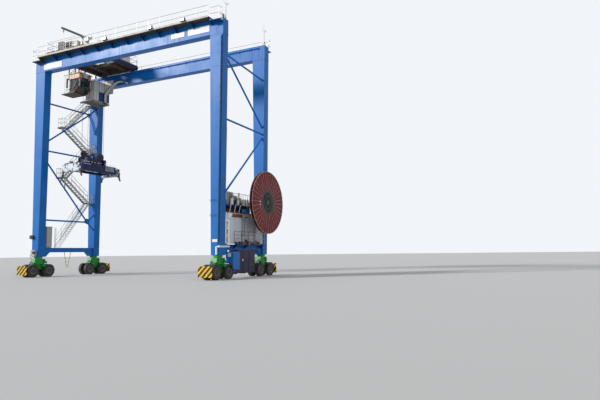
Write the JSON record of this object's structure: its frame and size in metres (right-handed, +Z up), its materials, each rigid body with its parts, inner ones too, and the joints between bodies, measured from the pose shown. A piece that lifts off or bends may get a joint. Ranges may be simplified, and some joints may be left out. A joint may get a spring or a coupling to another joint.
{
  "type": "rubber tyred gantry crane",
  "caption": "Two portal frames on steered rubber tyred bogies, with a trolley, cabin, telescopic spreader, stair tower and cable reel, for stacking containers.",
  "frame": {"origin": "on the ground under the middle of the whole crane", "axes": "+X across the container stack towards the cable reel, +Y along the stack, +Z up"},
  "size_m": [26.203, 11.68, 27.9137],
  "materials": {
    "blue_paint": "semi gloss",
    "navy_paint": "semi gloss",
    "green_paint": "semi gloss",
    "galvanised": "matt galvanised",
    "white_paint": "semi gloss",
    "rusty_plate": "rusted",
    "machinery": "semi gloss",
    "cabin_glass": "tinted",
    "red_paint": "matt",
    "cable_rubber": "matt",
    "rope_steel": "greased",
    "tyre_rubber": "matt",
    "yellow_paint": "semi gloss",
    "rail_steel": "worn"
  },
  "bodies": {
    "gantry": {"front_girder": "blue_paint", "rear_girder": "blue_paint", "front_left_leg": "blue_paint", "front_right_leg": "blue_paint", "rear_left_leg": "blue_paint", "rear_right_leg": "blue_paint", "left_sill_beam": "blue_paint", "right_sill_beam": "blue_paint", "left_bracing": "blue_paint", "right_bracing": "blue_paint", "trolley_rails": "rail_steel", "girder_walkways": "galvanised", "walkway_handrails": "galvanised", "stair_stringers": "galvanised", "stair_treads": "galvanised", "stair_landings": "galvanised", "stair_handrails": "galvanised", "access_platform": "galvanised", "access_panels": "white_paint", "electrical_house": "white_paint", "electrical_house_roof": "rusty_plate", "service_platform": "blue_paint", "service_handrails": "galvanised", "roof_units": "galvanised", "reel_support": "blue_paint", "power_box": "navy_paint", "ground_ladder": "blue_paint", "left_cabinet": "galvanised", "masts": "white_paint", "floodlights": "machinery", "tie_down_stays": "yellow_paint"},
    "trolley": {"trolley_frame": "blue_paint", "trolley_handrails": "galvanised", "hoist_machinery": "machinery", "cabin_body": "white_paint", "cabin_glass": "cabin_glass"},
    "jib": {"service_jib": "machinery"},
    "lifting_gear": {"headblock": "blue_paint", "hoist_ropes": "rope_steel", "spreader_frame": "blue_paint"},
    "front_telescope": {"front_end_beam": "white_paint"},
    "rear_telescope": {"rear_end_beam": "white_paint"},
    "flipper_fl": {"flipper_front_left": "machinery"},
    "flipper_fr": {"flipper_front_right": "machinery"},
    "flipper_rl": {"flipper_rear_left": "machinery"},
    "flipper_rr": {"flipper_rear_right": "machinery"},
    "reel": {"cable_reel": "red_paint", "reel_cable": "cable_rubber"},
    "bogie_front_left": {"bogie_front_left": "green_paint"},
    "axle_front_left_a": {"axle_front_left_a": "tyre_rubber"},
    "axle_front_left_b": {"axle_front_left_b": "tyre_rubber"},
    "bogie_front_right": {"bogie_front_right": "green_paint"},
    "axle_front_right_a": {"axle_front_right_a": "tyre_rubber"},
    "axle_front_right_b": {"axle_front_right_b": "tyre_rubber"},
    "bogie_rear_left": {"bogie_rear_left": "green_paint"},
    "axle_rear_left_a": {"axle_rear_left_a": "tyre_rubber"},
    "axle_rear_left_b": {"axle_rear_left_b": "tyre_rubber"},
    "bogie_rear_right": {"bogie_rear_right": "green_paint"},
    "axle_rear_right_a": {"axle_rear_right_a": "tyre_rubber"},
    "axle_rear_right_b": {"axle_rear_right_b": "tyre_rubber"}
  },
  "joints": [
    {"name": "trolley_travel", "type": "slide", "parent": "gantry", "child": "trolley", "axis": [1, 0, 0], "range_m": [0, 15.5]},
    {"name": "hoist", "type": "slide", "parent": "trolley", "child": "lifting_gear", "axis": [0, 0, 1], "range_m": [-8.6, 6.7], "deforming": ["hoist_ropes"]},
    {"name": "telescope_front", "type": "slide", "parent": "lifting_gear", "child": "front_telescope", "axis": [0, -1, 0], "range_m": [0, 3.05]},
    {"name": "telescope_rear", "type": "slide", "parent": "lifting_gear", "child": "rear_telescope", "axis": [0, 1, 0], "range_m": [0, 3.05]},
    {"name": "flipper_fl_swing", "type": "hinge", "parent": "front_telescope", "child": "flipper_fl", "pos_m": [-10.1, -2.83, 11.77], "axis": [0, 1, 0], "range_deg": [0, 170]},
    {"name": "flipper_fr_swing", "type": "hinge", "parent": "front_telescope", "child": "flipper_fr", "pos_m": [-7.48, -2.83, 11.77], "axis": [0, -1, 0], "range_deg": [0, 170]},
    {"name": "flipper_rl_swing", "type": "hinge", "parent": "rear_telescope", "child": "flipper_rl", "pos_m": [-10.1, 2.83, 11.77], "axis": [0, 1, 0], "range_deg": [0, 170]},
    {"name": "flipper_rr_swing", "type": "hinge", "parent": "rear_telescope", "child": "flipper_rr", "pos_m": [-7.48, 2.83, 11.77], "axis": [0, -1, 0], "range_deg": [0, 170]},
    {"name": "jib_slew", "type": "hinge", "parent": "trolley", "child": "jib", "pos_m": [-6.27, -3.365, 24.96], "axis": [0, 0, 1], "range_deg": [0, 180]},
    {"name": "reel_turn", "type": "hinge", "parent": "gantry", "child": "reel", "pos_m": [12.88, 2.05, 7.3], "axis": [1, 0, 0], "continuous": true},
    {"name": "steer_front_left", "type": "hinge", "parent": "gantry", "child": "bogie_front_left", "pos_m": [-12.355, -3.865, 2.17], "axis": [0, 0, -1], "range_deg": [0, 90]},
    {"name": "roll_front_left_a", "type": "hinge", "parent": "bogie_front_left", "child": "axle_front_left_a", "pos_m": [-12.355, -4.865, 0.685], "axis": [1, 0, 0], "continuous": true},
    {"name": "roll_front_left_b", "type": "hinge", "parent": "bogie_front_left", "child": "axle_front_left_b", "pos_m": [-12.355, -2.865, 0.685], "axis": [1, 0, 0], "continuous": true},
    {"name": "steer_front_right", "type": "hinge", "parent": "gantry", "child": "bogie_front_right", "pos_m": [11.115, -3.865, 2.17], "axis": [0, 0, 1], "range_deg": [0, 90]},
    {"name": "roll_front_right_a", "type": "hinge", "parent": "bogie_front_right", "child": "axle_front_right_a", "pos_m": [11.115, -4.865, 0.685], "axis": [1, 0, 0], "continuous": true},
    {"name": "roll_front_right_b", "type": "hinge", "parent": "bogie_front_right", "child": "axle_front_right_b", "pos_m": [11.115, -2.865, 0.685], "axis": [1, 0, 0], "continuous": true},
    {"name": "steer_rear_left", "type": "hinge", "parent": "gantry", "child": "bogie_rear_left", "pos_m": [-12.355, 3.865, 2.17], "axis": [0, 0, 1], "range_deg": [0, 90]},
    {"name": "roll_rear_left_a", "type": "hinge", "parent": "bogie_rear_left", "child": "axle_rear_left_a", "pos_m": [-12.355, 2.865, 0.685], "axis": [1, 0, 0], "continuous": true},
    {"name": "roll_rear_left_b", "type": "hinge", "parent": "bogie_rear_left", "child": "axle_rear_left_b", "pos_m": [-12.355, 4.865, 0.685], "axis": [1, 0, 0], "continuous": true},
    {"name": "steer_rear_right", "type": "hinge", "parent": "gantry", "child": "bogie_rear_right", "pos_m": [11.115, 3.865, 2.17], "axis": [0, 0, -1], "range_deg": [0, 90]},
    {"name": "roll_rear_right_a", "type": "hinge", "parent": "bogie_rear_right", "child": "axle_rear_right_a", "pos_m": [11.115, 2.865, 0.685], "axis": [1, 0, 0], "continuous": true},
    {"name": "roll_rear_right_b", "type": "hinge", "parent": "bogie_rear_right", "child": "axle_rear_right_b", "pos_m": [11.115, 4.865, 0.685], "axis": [1, 0, 0], "continuous": true}
  ],
  "couplings": [
    {"joint": "telescope_rear", "follows": "telescope_front", "ratio": 1}
  ]
}
